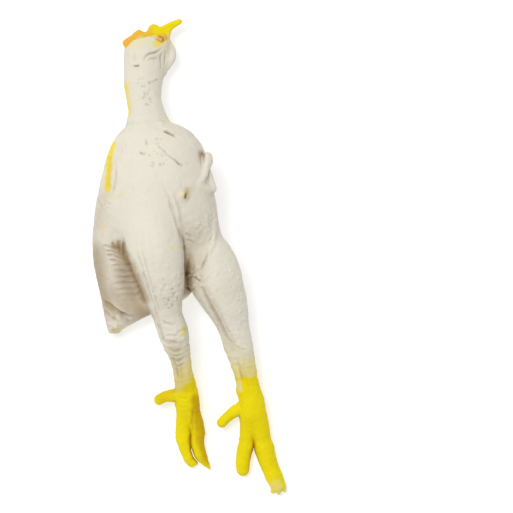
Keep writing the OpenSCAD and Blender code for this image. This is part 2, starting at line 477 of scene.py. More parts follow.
def plate(grid, corners, z, half, rounding):
    """A flat form at a height z, half its thickness given, its outline and its edges rounded."""
    edge = closed_curve(corners)
    cut = grid.window(
        (*(edge.min(axis=0) - FAR), z - half - FAR),
        (*(edge.max(axis=0) + FAR), z + half + FAR),
    )
    x, y, zz = grid.coords(cut)
    x, y = np.broadcast_arrays(x[:, :, 0], y[:, :, 0])
    d = np.full(x.shape, 1e9)
    inside = np.zeros(x.shape, bool)
    for a, b in zip(edge, np.roll(edge, -1, axis=0)):
        ab = b - a
        t = np.clip(((x - a[0]) * ab[0] + (y - a[1]) * ab[1]) / (ab @ ab), 0, 1)
        d = np.minimum(d, np.hypot(x - a[0] - t * ab[0], y - a[1] - t * ab[1]))
        crosses = (a[1] > y) != (b[1] > y)
        if abs(ab[1]) > 1e-9:
            inside ^= crosses & (x < a[0] + (y - a[1]) * ab[0] / ab[1])
    d = np.where(inside, -d, d)[:, :, None] + rounding
    e = np.abs(zz - z) - half + rounding
    field = grid.blank()
    field[cut] = np.minimum(np.maximum(d, e), 0) + np.hypot(np.maximum(d, 0), np.maximum(e, 0)) - rounding
    return np.minimum(field, FAR)


def outline(origin, *corners):
    """Corners of an outline in X and Y, given from an origin."""
    return [(origin[0] + x, origin[1] + y) for x, y in corners]


FAR_WING = outline(
    NECK,
    *((60, -36), (65, -36.5), (65.5, -45), (63.5, -51), (66.5, -60), (69.5, -70)),
    *((67, -74), (59, -73), (52, -68), (56, -62), (58, -54), (57.5, -44)),
)
COMB = outline(
    SKULL,
    *((-21, 9), (-18.5, 3.5), (-8, 7), (4, 12), (16, 16), (17.5, 21)),
    *((12.5, 26), (6.5, 25.2), (2, 18), (-5, 20.8), (-12.5, 15)),
)
BEAK = outline(
    SKULL,
    *((13, 20), (24, 26.6), (35, 31), (38.8, 29.4), (37, 26), (29, 20.4), (25.5, 13), (14, 10)),
)


def head_form(grid):
    """Neck, skull, face, comb, beak and wattle, in profile along the table."""
    throat = [
        (*(NECK - 18 * NECK_DIR), 24),
        (*(NECK - 4 * NECK_DIR), 20.5),
        (*(NECK + 0.15 * (NAPE - NECK)), 18),
        (*(NECK + 0.45 * (NAPE - NECK) + (-1, 0, 0)), 17),
        (*(NECK + 0.75 * (NAPE - NECK) + (-0.5, 0, 0)), 18.6),
        (*(NAPE + (0.5, 2, 0)), 20),
    ]
    crown = rows_from(SKULL, [(0.5, -12, 1.5, 20.3), (0.5, -3, 0.5, 20.2), (2, 0, 0, 15.5)])
    skull = chain(grid, throat + crown)
    face = chain(grid, rows_from(SKULL, [(6, 1, 0, 14), (13, 6, 0, 11), (18, 11, 0, 8.5)]))
    head = join(skull, face, 8)
    cheek = chain(grid, rows_from(SKULL, [(8, -2, 8, 7), (14, 1, 8, 6.5), (17, 4, 6, 6)]))
    head = join(head, cheek, 5)
    web = chain(grid, rows_from(SKULL, [(18, 4, 0, 8), (20, -6, 0, 6.5), (18, -20, 0, 6)]), step=2)
    head = join(head, web, 6)
    head = join(head, plate(grid, COMB, SKULL[2] + 1, 4.4, 3), 2.2)
    head = join(head, plate(grid, BEAK, SKULL[2] + 1, 4.2, 2.4), 2.2)
    hanging = rows_from(SKULL, [(25, 6, 0, 4), (27.4, -1, 0, 5), (27, -8, 0, 5.4), (23.5, -16, 0, 4)])
    wattle = chain(grid, hanging, step=2)
    eye = chain(grid, rows_from(SKULL, [(17, 11, 8.5, 3), (20, 11.5, 7.5, 3)]), step=1)
    return join(join(head, wattle, 2), eye, 2)


# ------------ meeting planes and bending stretches
class Bend:
    """Where the skin starts to bend at a joint, and where it has turned fully."""

    def __init__(self, at, direction, before, after, overlap):
        self.direction = direction / np.linalg.norm(direction)
        self.start = at - before * self.direction
        self.end = at + after * self.direction
        self.overlap = overlap

    def past(self, grid):
        return beyond(grid, self.start, self.direction)

    def end_here(self, field, grid):
        return taper(field, self.past(grid), self.overlap)

    def begin_here(self, field, grid):
        return taper(field, -self.past(grid), self.overlap)

    def fillet(self, grid, width, reach):
        """Width of the fillet round a limb's root, none at the meeting plane."""
        return width * (1 - ramp(self.past(grid), -reach, -1.0))


# Each bend: joint, direction, how far before it the skin starts to turn, how far after it the turn is
# full, how far the pieces overlap
BENDS = {
    "neck": Bend(NECK, NECK_DIR, 1, 26, 6),
    "head": Bend(NAPE, toward(NECK, SKULL), 12, 12, 5),
}
for leg in (RIGHT, LEFT):
    side = leg.side
    BENDS[side + "_drumstick"] = Bend(leg.hip, toward(leg.hip, leg.hock), 10, 36, 7)
    BENDS[side + "_shank"] = Bend(leg.hock, toward(leg.hip, leg.ankle), 13, 12, 5)
    BENDS[side + "_foot"] = Bend(leg.ankle, toward(leg.hock, leg.front), 9, 9, 4)
    for name, root in leg.toes.items():
        low, high = node_box(f"{side}_{name}_toe")
        BENDS[f"{side}_{name}_toe"] = Bend(root, toward(root, (low + high) / 2), 3.5, 7, 3)


def torso_field(grid):
    field = torso_core(grid)
    neck = BENDS["neck"]
    field = join(field, neck.end_here(head_form(grid), grid), neck.fillet(grid, 17, 24))
    near_wing, far_wing = wings(grid)
    field = join(field, near_wing, 7)
    hip = BENDS["left_drumstick"]
    limb = hip.end_here(leg_form(grid, LEFT), grid)
    field = join(field, limb, hip.fillet(grid, 9, 30))
    hip = BENDS["right_drumstick"]
    limb = hip.end_here(leg_form(grid, RIGHT), grid)
    field = join(torso_folds(field, grid), limb, hip.fillet(grid, 9, 26))
    field = join(field, far_wing, 4)
    dimple = chain(grid, [(*(NOZZLE + 10.5 * NOZZLE_DIR), 6.5), (*(NOZZLE + 18 * NOZZLE_DIR), 13)])
    field = carve(field, dimple, 7)
    rim = chain(grid, [(*(NOZZLE - 5 * NOZZLE_DIR), 5.5), (*(NOZZLE - 3.2 * NOZZLE_DIR), 5.5)])
    field = join(field, rim, 3)
    return rest_on_table(field, grid)


def neck_field(grid):
    return BENDS["head"].end_here(BENDS["neck"].begin_here(head_form(grid), grid), grid)


def head_field(grid):
    return rest_on_table(BENDS["head"].begin_here(head_form(grid), grid), grid)


def limb_field(leg, form, first, last):
    """The stretch of a leg's form between its bends at two parts."""

    def field(grid):
        limb = BENDS[f"{leg.side}_{first}"].begin_here(form(grid, leg), grid)
        return BENDS[f"{leg.side}_{last}"].end_here(limb, grid)

    return field


def foot_field(leg):
    def field(grid):
        whole = BENDS[leg.side + "_foot"].begin_here(foot_form(grid, leg), grid)
        for name in leg.toes:
            bend = BENDS[f"{leg.side}_{name}_toe"]
            toe = bend.end_here(toe_form(grid, leg, name), grid)
            toe = BENDS[leg.side + "_foot"].begin_here(toe, grid)
            whole = join(whole, toe, bend.fillet(grid, 6, 14))
        return rest_on_table(whole, grid)

    return field


def toe_field(leg, name):
    def field(grid):
        bend = BENDS[f"{leg.side}_{name}_toe"]
        return rest_on_table(bend.begin_here(toe_form(grid, leg, name), grid), grid)

    return field


# How gently the underside turns flat where it lies
TABLE_ROUNDING = 3.0


def rest_on_table(field, grid):
    """Flattens the underside where it lies."""
    _, _, z = grid.coords()
    return -join(-field, z + 0 * field, TABLE_ROUNDING)


# ------------ fine relief, pressed in from above
# How far a crease wanders off its line, and the height of its raised lips
WANDER = 0.9
LIP = 0.3


class Stroke:
    """A crease (depth above 0) or a ridge (below 0) along a line seen from above."""

    def __init__(self, origin, line, depth, width, crease_shade=0.0):
        rows = [(origin[0] + x, origin[1] + y, 0, 0) for x, y in line]
        self.line = spline(rows, 2.0)[:, :2]
        self.depth = depth
        self.width = width
        # How much painted shade the bottom of the crease gets
        self.crease_shade = crease_shade

    def profile(self, points):
        """1 on the line, 0 away from it, fading towards both ends."""
        reach = 4 * self.width
        out = np.zeros(len(points))
        low, high = self.line.min(axis=0) - reach, self.line.max(axis=0) + reach
        near = np.all((points[:, :2] > low) & (points[:, :2] < high), axis=1)
        if not near.any():
            return out
        wander = np.stack([noise(points[near], 5, k) for k in (0, 1)], axis=1)
        p = points[near, :2] + WANDER * wander
        best = np.full(len(p), 1e9)
        along = np.zeros(len(p))
        count = len(self.line) - 1
        for i, (a, b) in enumerate(zip(self.line[:-1], self.line[1:])):
            ab = b - a
            t = np.clip((p - a) @ ab / (ab @ ab), 0, 1)
            d = np.hypot(*(p - a - t[:, None] * ab).T)
            closer = d < best
            best = np.where(closer, d, best)
            along = np.where(closer, (i + t) / count, along)
        ends = ramp(np.minimum(along, 1 - along), -0.04, 0.3)
        lips = LIP * np.exp(-(((best - 2.2 * self.width) / self.width) ** 2))
        out[near] = (np.exp(-((best / self.width) ** 2)) - lips) * ends * (1 + 0.3 * wander[:, 0])
        return out


# Creases and ridges: line in X and Y from the place named in LINES, depth, width, painted shade in the
# crease
CHEST_LINES = [
    ([(16.5, -13.5), (23, -16.2), (30.5, -19.5)], 2.0, 1.0, 0.7),
    ([(17, -11.8), (24, -14), (30, -16.8)], -0.8, 1.8),
    ([(8, -4), (13, -6), (19, -8.5)], -1.0, 2.2),
    ([(2, -22), (12, -28), (25, -40), (32, -46), (39, -51)], 0.8, 0.9, 0.15),
    ([(22, -38), (31, -45), (39, -51)], 1.1, 1.0, 0.3),
    ([(-3, -20), (1, -24), (2, -30)], 0.9, 1.4, 0.2),
    ([(-6, -34), (-3, -37), (1, -36)], 1.1, 1.3, 0.5),
    ([(-27, -47), (-30, -58), (-31, -70), (-34, -82)], 0.8, 1.0, 0.1),
    ([(-27, -44), (-25, -54), (-27, -66)], -0.7, 1.8),
    ([(-48, -79), (-46, -87), (-42, -89), (-40, -83)], 0.7, 1.1, 0.1),
]
THIGH_LINES = [
    ([(7, 81), (14, 65), (18.5, 51), (22.5, 37), (27, 23), (29, 6)], 1.3, 1.2, 0.12),
    ([(14, 72), (19.5, 60), (23.5, 47), (25.5, 40)], -1.3, 2.2),
    ([(-17, 30), (-17, 14), (-13.5, 0), (-3.5, -32), (4, -57), (8, -74)], 0.9, 1.0, 0.15),
    ([(-12, 20), (-9, 0), (0.5, -32), (8.5, -58)], 0.7, 0.9, 0.1),
    ([(-8, 34), (-6, 16), (-1, -6)], -0.7, 2.4),
    ([(6, -57), (14, -61), (22, -60)], 1.1, 1.6, 0.1),
    ([(5, -72), (12, -79), (22, -80)], 1.0, 1.5, 0.1),
    ([(2, -55), (5, -68), (9, -80)], 1.1, 1.6, 0.15),
]


def short_fold(i):
    """One of the short folds at the outer edge of the rump's hollow."""
    line = [(-54 + 2 * i, 17 - 5 * i), (-47 + 2.5 * i, 17 - 5 * i), (-38 + 2.5 * i, 12 - 4.6 * i)]
    return line, 1.3, 1.2, 0.15


def long_fold(i):
    """One of the long folds across the rump's hollow, each below the last."""
    line = [(-47 + 3 * (i % 3), -3 - 6.2 * i), (-37 + 1.4 * i, -2.2 - 6 * i)]
    line += [(-28 + 1.8 * i, -3 - 5.8 * i), (-18 + 1.4 * i, -1 - 5.4 * i)]
    return line, 1.0 - 0.08 * i, 1.3 + 0.25 * (i % 2), 0.08


RUMP_LINES = [
    *[short_fold(i) for i in range(4)],
    ([(-36, 24), (-36, 17), (-34, 10)], 1.4, 1.3, 0.2),
    ([(-31, 21), (-31, 14), (-29, 7)], 1.4, 1.3, 0.2),
    ([(-42, 23), (-41, 17), (-37, 11)], 1.4, 1.3, 0.2),
    *[long_fold(i) for i in range(6)],
    ([(-56, -37), (-49, -41), (-42, -46), (-34, -51), (-27, -53), (-18, -53)], 2.0, 1.4, 0.32),
    ([(-56, -41), (-49, -46), (-42, -51), (-36, -57), (-32, -65)], -2.4, 1.8),
    ([(-37, -50), (-30, -55), (-27, -62), (-27, -68)], 1.7, 2.0, 0.05),
    ([(-48, -52), (-45, -60), (-43, -68)], -0.9, 2.2),
]
BELLY_LINES = [
    ([(-27, 31), (-22, 30), (-18, 26)], 0.9, 1.0, 0.12),
    ([(-25, 25), (-20, 23), (-17, 19)], 0.8, 1.0, 0.12),
    ([(4, 62), (3, 40), (2, 22), (-3, 12), (-14, -2)], -1.2, 1.6),
    ([(-2, 16), (-6, 6), (-11, -8)], 1.4, 1.3, 0.3),
    ([(-25, -14), (-17, -12.5), (-8, -19)], 1.6, 1.4, 0.25),
    ([(-30, -8), (-22, -9), (-14, -6)], 1.1, 1.1, 0.2),
    ([(-26, -22), (-19, -24), (-15, -20)], 1.0, 1.2, 0.2),
]
FAR_LEG_LINES = [
    ([(-9, -17), (-1, -34), (9, -52), (15.5, -66), (23, -79), (27, -92)], -1.9, 1.1),
    ([(-12, -18), (-4.5, -36), (5.5, -54), (12, -68), (19, -80)], 1.4, 1.1, 0.15),
    ([(22, -80), (29, -84), (36, -83)], 0.8, 1.3, 0.1),
    ([(27, -92), (31, -106), (34, -120), (35, -136)], -0.9, 1.1),
    ([(24, -92), (28, -107), (31, -121)], 0.9, 1.2, 0.3),
]
SHANK_LINES = [
    ([(-9, -2), (-1, -5), (8, -3)], 1.1, 1.3, 0.15),
    ([(-6, -12), (1, -14), (9, -13)], 1.1, 1.3, 0.25),
    ([(-8, 6), (2, 3), (11, 6)], 1.1, 1.4, 0.15),
    ([(-1, -8), (3, -20), (6, -34)], -0.8, 1.2),
    ([(-4, -10), (0, -22), (3, -36)], 0.8, 1.1, 0.2),
    ([(-12, 9), (-4, 11), (4, 10)], 0.8, 1.0, 0.12),
    ([(-9, -8), (0, -9.5), (9, -8)], 0.8, 0.9, 0.12),
    ([(-7, -18), (1, -20), (9, -18)], 0.8, 0.9, 0.12),
    ([(2, 14), (9, 17), (14, 15)], 0.7, 1.0, 0.1),
]
NEAR_FOOT_LINES = [
    ([(8, -15), (6.5, -28), (6, -42)], 1.2, 1.1, 0.2),
    ([(-8, -5), (0, -6), (6, -4)], 0.5, 0.9, 0.05),
    ([(-8, -14), (-2, -15), (4, -13)], 0.5, 0.9, 0.05),
    ([(5, -20), (11, -22), (15, -20)], 0.6, 1.0, 0.05),
]
HEAD_LINES = [
    ([(-10, -16.5), (-6, -17), (-1.5, -16)], 1.8, 1.0, 0.7),
    ([(-9, -2), (-9, -10), (-7, -15)], 0.9, 1.5, 0.1),
    ([(1, -14), (2, -8), (8, -5), (15, -3), (20, 2)], 1.6, 1.1, 0.3),
    ([(2, -13), (9, -10), (17, -9)], 0.8, 1.0, 0.2),
    ([(19, -2), (18, -12), (17.5, -22)], 0.9, 1.0, 0.12),
    ([(23, 2), (22, -8), (21.5, -17)], 0.9, 0.9, 0.15),
    ([(6, -35), (12, -32), (18, -30)], 1.0, 1.1, 0.2),
    ([(13, 12), (18, 8), (23, 10)], 1.4, 1.1, 0.3),
    ([(18, 19), (26, 23), (35, 26.5)], 0.5, 0.9, 0.12),
    ([(-14, 8), (-2, 12), (10, 16)], 0.7, 1.2, 0.1),
]
LINES = [
    Stroke(origin, *row)
    for origin, rows in (
        (NECK, CHEST_LINES),
        (RIGHT.hip, THIGH_LINES),
        (RIGHT.hip, RUMP_LINES),
        (LEFT.hip, BELLY_LINES),
        (LEFT.hip, FAR_LEG_LINES),
        (RIGHT.hock, SHANK_LINES),
        (RIGHT.ankle, NEAR_FOOT_LINES),
        (SKULL, HEAD_LINES),
    )
    for row in rows
]

# Pores and bumps scattered in ovals: origin, middle from it, half sizes, count, height, width
SEED = 7
random = np.random.default_rng(SEED)
SPOTS = []
for origin, middle, half, count, height, width in (
    (NECK, (13, -38), (9, 17), 22, -0.8, 1.0),
    (NECK, (0, 18), (5, 12), 12, -0.8, 1.0),
    (NECK, (-2, 36), (7, 6), 6, -0.8, 1.0),
    (RIGHT.hip, (10, -22), (18, 20), 26, 0.85, 1.2),
    (RIGHT.hip, (14, -30), (15, 16), 20, -0.9, 1.1),
    (RIGHT.hip, (-43, -58), (7, 11), 40, 0.7, 1.4),
    (LEFT.hip, (16, -20), (14, 26), 14, 0.85, 1.2),
    (LEFT.hip, (29, -46), (6, 34), 18, 0.85, 1.2),
    (LEFT.hip, (-10, 30), (9, 14), 34, 0.6, 1.2),
    (LEFT.hip, (-1, 42), (5, 20), 24, 0.7, 1.2),
    (LEFT.hip, (-13, -12), (10, 12), 34, 0.9, 1.5),
    (LEFT.hock, (6, -8), (7, 16), 16, 0.5, 1.4),
    (RIGHT.hock, (2, 4), (8, 14), 14, 0.5, 1.5),
    (NECK, (-38, -86), (5, 6), 10, 0.7, 1.4),
):
    for _ in range(count):
        turn = random.uniform(0, 2 * math.pi)
        reach = math.sqrt(random.uniform())
        at = origin[:2] + np.array(middle) + reach * np.array(half) * (math.cos(turn), math.sin(turn))
        SPOTS.append((at, height * random.uniform(0.6, 1.3), width * random.uniform(0.8, 1.2)))

# Cells along each side of the random lattices that the noise is read from
LATTICE = 32
lattices = [random.random((LATTICE,) * 3) for _ in range(3)]


def cell_corners(f):
    """The corners of a cell, each with its weight at the places f inside the cell."""
    for corner in np.ndindex(2, 2, 2):
        yield corner, np.prod(np.where(corner, f, 1 - f), axis=1)


# Where in the lattices the middle of the frame is read, in cells
NOISE_START = 100


def noise(points, size, which=0):
    """Smooth noise from -1 to 1 with lumps of the size given."""
    place = points / size + NOISE_START
    i = np.floor(place).astype(int)
    f = place - i
    f = f * f * (3 - 2 * f)
    total = np.zeros(len(points))
    for corner, weight in cell_corners(f):
        total += weight * lattices[which][tuple(((i + corner) % LATTICE).T)]
    return 2 * total - 1


# Unevenness of the latex all over: height, size of the lumps, lattice
LUMPS = ((0.35, 14, 0), (0.28, 6, 1), (0.22, 3, 2))
# Painted shade at the bottom of a pore
PORE_SHADE = 0.18


def relief(points, normals):
    """How far the skin stands out at each point, and how much painted shade its creases and pores put
    there.
    """
    above = ramp(normals[:, 2], 0.05, 0.4)
    lift = sum(height * noise(points, size, lattice) for height, size, lattice in LUMPS)
    low = ramp(LEFT.hock[1] + 30 - points[:, 1], 0, 30)
    on_foot = ramp(RIGHT.ankle[1] + 14 - points[:, 1], 0, 16)
    # Crepe across the legs, weaker on the feet
    lift += low * (0.5 - 0.34 * on_foot) * noise(points * (0.35, 1, 0.5), 3.0, 2)
    # Ridges down the near flank
    beside = (points[:, 0] - NECK[0] + 20) / 14
    below = (points[:, 1] - NECK[1] + 52) / 34
    flank = np.exp(-(beside**2) - below**2)
    lift += 0.75 * flank * noise(points * (1, 0.28, 0.5), 2.2, 1)
    crease_shade = np.zeros(len(points))
    for line in LINES:
        shape = line.profile(points)
        lift -= above * line.depth * shape
        crease_shade = np.maximum(crease_shade, above * line.crease_shade * shape**2 * (shape > 0))
    for at, height, width in SPOTS:
        near = np.all(np.abs(points[:, :2] - at) < 3 * width, axis=1)
        d = np.hypot(*(points[near, :2] - at).T)
        shape = above[near] * np.exp(-((d / width) ** 2))
        lift[near] += height * shape
        if height < 0:
            crease_shade[near] = np.maximum(crease_shade[near], PORE_SHADE * shape)
    return lift, crease_shade


# ------------ paint, as masks that the material mixes
# How far the edge of a patch wanders
RAGGED = 1.2


def patch(points, origin, line, half_width, soft):
    """A brushed patch along a line seen from above: 1 inside, 0 outside."""
    rows = [(origin[0] + x, origin[1] + y, 0, 0) for x, y in line]
    curve = spline(rows, 3.0)[:, :2]
    d = np.full(len(points), 1e9)
    for a, b in zip(curve[:-1], curve[1:]):
        ab = b - a
        t = np.clip((points[:, :2] - a) @ ab / (ab @ ab), 0, 1)
        d = np.minimum(d, np.hypot(*(points[:, :2] - a - t[:, None] * ab).T))
    return 1 - ramp(d + RAGGED * noise(points, 4, 1), half_width - soft, half_width + soft)


def patches(points, rows):
    """Each row's patch. A row is its strength, origin, line, half width and softness."""
    return [strength * patch(points, *row) for strength, *row in rows]


# The coat on each foot: where it starts past the ankle, and how softly
FOOT_COATS = ((RIGHT, -21, 13), (LEFT, -28.5, 2))
# Faint yellow elsewhere, brown patches, and painted shade on hollows, slopes and toes turned from the light
TINTS = [
    (0.8, NECK, [(-21, 34), (-19.5, 20), (-17, 4)], 2.2, 3.5),
    (0.25, NECK, [(20, -3), (25, -5)], 3, 3),
    (0.35, RIGHT.hip, [(17, 15), (24, 15)], 1.6, 1.4),
    (0.6, RIGHT.hip, [(29, -64), (27, -72)], 2.2, 1.6),
    (0.3, RIGHT.hip, [(-52, 37), (-51, 34)], 1.5, 1.2),
    (0.3, RIGHT.hip, [(-45, -72), (-38, -68)], 4, 5),
    (0.22, NOZZLE, [(-2, 2), (3, 4)], 4, 5),
    (0.2, NECK, [(-22, -76), (-30, -80), (-36, -76)], 1.6, 2.5),
    (0.22, SKULL, [(-12, 4), (2, 8), (14, 9), (18, 5)], 4, 5),
]
BROWN_PATCHES = [
    (0.5, NOZZLE, [(1, 1), (3, 7)], 1.2, 3),
    (0.9, NOZZLE, [(0, -1.5), (0.5, 2)], 1.0, 1.2),
    (0.25, RIGHT.hip, [(-14, -48), (-8, -52)], 5, 6),
    (0.1, LEFT.hip, [(-20, -15), (-14, -16)], 2, 3),
    (0.8, SKULL, [(17, 12.5), (19.5, 11.5), (20, 9)], 0.9, 1.0),
    (0.4, NECK, [(65.5, -44), (66, -45)], 1.2, 1.0),
]
# Painted shade: on the near foot's toes, down the rump and flanks, round the slit, along the thighs and
# shanks
PAINTED_SHADE_PATCHES = [
    (0.75, RIGHT.ankle, [(11, -8), (14, -34), (17, -50), (23, -68)], 6, 4),
    (0.32, RIGHT.ankle, [(-14, 2), (-28, -4)], 5, 4),
    (0.65, RIGHT.hip, [(-60, 10), (-56, -22), (-46, -46)], 7, 9),
    (0.45, RIGHT.hip, [(-44, -30), (-30, -44), (-16, -54)], 9, 9),
    (0.2, NECK, [(-42, -80), (-48, -104)], 6, 9),
    (0.05, NECK, [(-2, 4), (-4, 60)], 20, 9),
    (0.22, NOZZLE, [(-1, -1), (2, 5)], 3, 4),
    (0.34, RIGHT.hock, [(-2, -4), (2, -24), (5, -40)], 7, 8),
    (0.14, LEFT.ankle, [(-9, 46), (-4, 30)], 9, 8),
    (1.0, RIGHT.hip, [(-37, 16), (-29, 4), (-20, -14), (-12, -36)], 5, 6),
    (0.27, LEFT.hip, [(-17, 28), (-16, 8), (-17, -8)], 11, 9),
    (0.28, LEFT.hip, [(-8, -22), (2, -44), (13, -68), (21, -84)], 3, 4),
    (0.18, RIGHT.hip, [(25, 44), (29, 20), (30, -8), (29, -30)], 1.5, 3),
]


def feet_paint(points):
    """The yellow coat on both feet, sprayed thinner up the shanks."""
    yellow = np.zeros(len(points))
    for leg, start, soft in FOOT_COATS:
        down = toward(leg.hock, leg.ankle)
        s = (points - leg.ankle) @ down + 2 * noise(points, 9, 2)
        if leg is RIGHT:
            s = s + 0.8 * np.clip(points[:, 0] - leg.ankle[0], -9, 9)
            s = s + 12 * ramp(leg.ankle[0] - 11 - points[:, 0], 0, 4)
        coat = np.maximum(ramp(s, start - soft, start + soft), 0.55 * ramp(s, start - 30, start - 4))
        midway = (RIGHT.ankle[0] + LEFT.ankle[0]) / 2
        near_side = points[:, 0] < midway + 0.12 * (leg.ankle[1] - points[:, 1])
        mine = near_side if leg is RIGHT else ~near_side
        yellow = np.maximum(yellow, np.where(mine & (points[:, 1] < leg.hock[1]), coat, 0))
    spur = patch(points, LEFT.ankle, [(-12.5, 19), (-11, 13)], 2.5, 1.8)
    claws = patch(points, LEFT.toes["outer"], [(14, -46), (20, -52)], 6, 5)
    yellow = yellow * (1 - 0.65 * spur)
    yellow *= 1 - 0.25 * claws
    low = ramp(RIGHT.hock[1] + 18 - points[:, 1], 0, 40)
    return np.maximum(yellow, 0.14 * low)


def paint(points, normals):
    """Yellow, orange and brown paint masks, and the mask of painted shade, at each point."""
    above = ramp(normals[:, 2], -0.3, 0.1)
    wing = patch(points, NECK, [(-33, -27), (-36, -44), (-37, -60), (-37.5, -71)], 3.2, 2)
    wing *= ramp(points[:, 2], NECK[2] + 15, NECK[2] + 21)
    core = patch(points, NECK, [(-34.5, -42), (-35, -56), (-36.5, -67)], 2.0, 2.5)
    comb = patch(points, SKULL, [(-20, 8), (-8, 14.5), (4, 18), (15, 21.5)], 6, 1.6)
    comb *= 1 - ramp(np.abs(points[:, 2] - SKULL[2] - 1), 10, 14)
    beak = patch(points, SKULL, [(16, 20), (26, 23.5), (37, 28)], 7, 2.0)
    eye = patch(points, SKULL, [(16, 11), (19, 12), (21, 13)], 3.6, 1.6)
    flush = patch(points, SKULL, [(23, 10), (26, 4)], 2, 3.5)
    brow = patch(points, SKULL, [(14, 5), (20, 10), (24, 14)], 3.4, 2.2)
    yellow = np.maximum.reduce(
        [feet_paint(points), 0.85 * above * wing, comb, beak, 0.75 * brow, *patches(points, TINTS)]
    )
    back = ramp(SKULL[0] + 14 - points[:, 0], 0, 30)
    orange = np.maximum.reduce(
        [0.12 * above * core, comb * (1 - beak) * (0.5 + 0.5 * back), 0.75 * eye, 0.2 * flush]
    )
    brown = np.maximum.reduce(patches(points, BROWN_PATCHES))
    below = 1 - ramp(points[:, 2], RIGHT.hip[2] - 12, RIGHT.hip[2] + 2)
    crotch = patch(points, RIGHT.hip, [(-30, -8), (-24, -26), (-18, -44), (-12, -52)], 10, 9)
    # Painted shade in hollows, on slopes turned from the light and in the crotch below the hip; on the wing
    # it darkens the yellow's core, which is the paint's own tone
    painted_shade = np.maximum.reduce([*patches(points, PAINTED_SHADE_PATCHES), 0.2 * core * wing, 0.55 * crotch * below])
    return yellow, orange, brown * above, painted_shade * above


# ------------ from field to mesh
def surface(field, grid):
    """Points in mm and quads of the field's zero surface, facing out."""
    volume = openvdb.FloatGrid(FAR)
    volume.copyFromArray(np.ascontiguousarray(np.clip(field, -FAR, FAR), np.float32))
    points, quads = volume.convertToQuads(0.0)
    points = points.astype(np.float64) * grid.step + grid.low
    return points, quads.astype(np.int64)


def normals_of(points, quads):
    a, b, c, d = (points[quads[:, i]] for i in range(4))
    face = np.cross(c - a, d - b)
    out = np.zeros_like(points)
    for axis in range(3):
        for i in range(4):
            out[:, axis] += np.bincount(quads[:, i], face[:, axis], len(points))
    return out / np.maximum(np.linalg.norm(out, axis=1, keepdims=True), 1e-9)


def sample(field, grid, points):
    """Value of a field at points, between its voxels."""
    place = np.clip((points - grid.low) / grid.step, 0, np.array(grid.shape) - 1.001)
    i = place.astype(int)
    f = place - i
    total = np.zeros(len(points))
    for corner, weight in cell_corners(f):
        total += weight * field[tuple((i + corner).T)]
    return total


def whole_bird(grid):
    """The whole bird without seams, to find its folds for the painted shade in them."""
    near_wing, far_wing = wings(grid)
    field = join(torso_core(grid), head_form(grid), 10)
    field = join(field, near_wing, 7)
    field = torso_folds(join(field, leg_form(grid, LEFT), 4), grid)
    field = join(field, leg_form(grid, RIGHT), 4)
    field = join(field, far_wing, 2)
    for leg in (RIGHT, LEFT):
        for name in leg.toes:
            field = np.minimum(field, chain(grid, toe_rows(leg, name)))
    return field


# Step of a grid where fine detail doesn't count, and the room round the bird in it
COARSE_STEP = 2.5
COARSE_ROOM = 30
COARSE = Grid(np.array(cad_box[0]) / MM - COARSE_ROOM, np.array(cad_box[1]) / MM + COARSE_ROOM, COARSE_STEP)
WHOLE = whole_bird(COARSE)

# How far off the skin the room is measured, and what each distance counts for
FEELERS = ((4, 0.35), (8, 0.35), (11, 0.3))


def seclusion(points, normals):
    """How much painted shade a point gets: 0 in the open, towards 1 in a fold."""
    total = np.zeros(len(points))
    for distance, weight in FEELERS:
        room = sample(WHOLE, COARSE, points + distance * normals)
        total += weight * np.clip(1 - room / distance, 0, 1)
    return total


# How far a hollow piece's inner surface lies under its outer one
WALL = 4.0
# Room round a piece's CAD box for its creases, claws and overlaps
ROOM = 12
# The slit over the squeaker's nozzle: half its width, how much longer than wide it is, and how far
# above the nozzle it ends
SLIT_HALF = 0.95
SLIT_STRETCH = 2
SLIT_GAP = 0.2


def slit_through(field, grid):
    """Cuts the slit through the skin over the nozzle."""
    along = beyond(grid, NOZZLE, NOZZLE_DIR)
    x, y, z = grid.coords()
    away = (x - NOZZLE[0]) ** 2 + ((y - NOZZLE[1]) / SLIT_STRETCH) ** 2 + (z - NOZZLE[2]) ** 2
    off_axis = np.sqrt(np.maximum(away - along**2, 0))
    return np.maximum(field, -np.maximum(off_axis - SLIT_HALF, SLIT_GAP - along))


